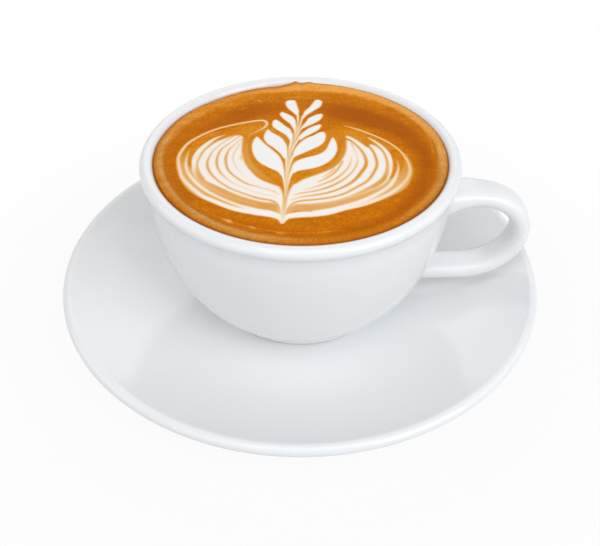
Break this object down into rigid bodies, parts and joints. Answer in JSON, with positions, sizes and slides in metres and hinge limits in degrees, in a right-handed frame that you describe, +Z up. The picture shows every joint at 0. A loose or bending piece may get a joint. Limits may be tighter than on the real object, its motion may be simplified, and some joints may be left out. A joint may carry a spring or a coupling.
{
  "type": "cappuccino",
  "caption": "Cappuccino with a rosetta in its foam, served in a low, wide white porcelain cup with an ear handle, standing on its round coupe saucer.",
  "frame": {"origin": "centre of the saucer's foot, on the table", "axes": "+Z up along the axis of the cup and the saucer, +X towards the cup's handle, the drinker's side at -Y"},
  "size_m": [0.155, 0.155, 0.0624],
  "materials": {
    "saucer_porcelain": "glossy white glaze",
    "cup_porcelain": "glossy white glaze",
    "crema": "fine satin foam, orange brown with a white milk pattern"
  },
  "bodies": {
    "root": {"saucer": "saucer_porcelain", "cup": "cup_porcelain", "coffee": "crema"}
  },
  "joints": []
}
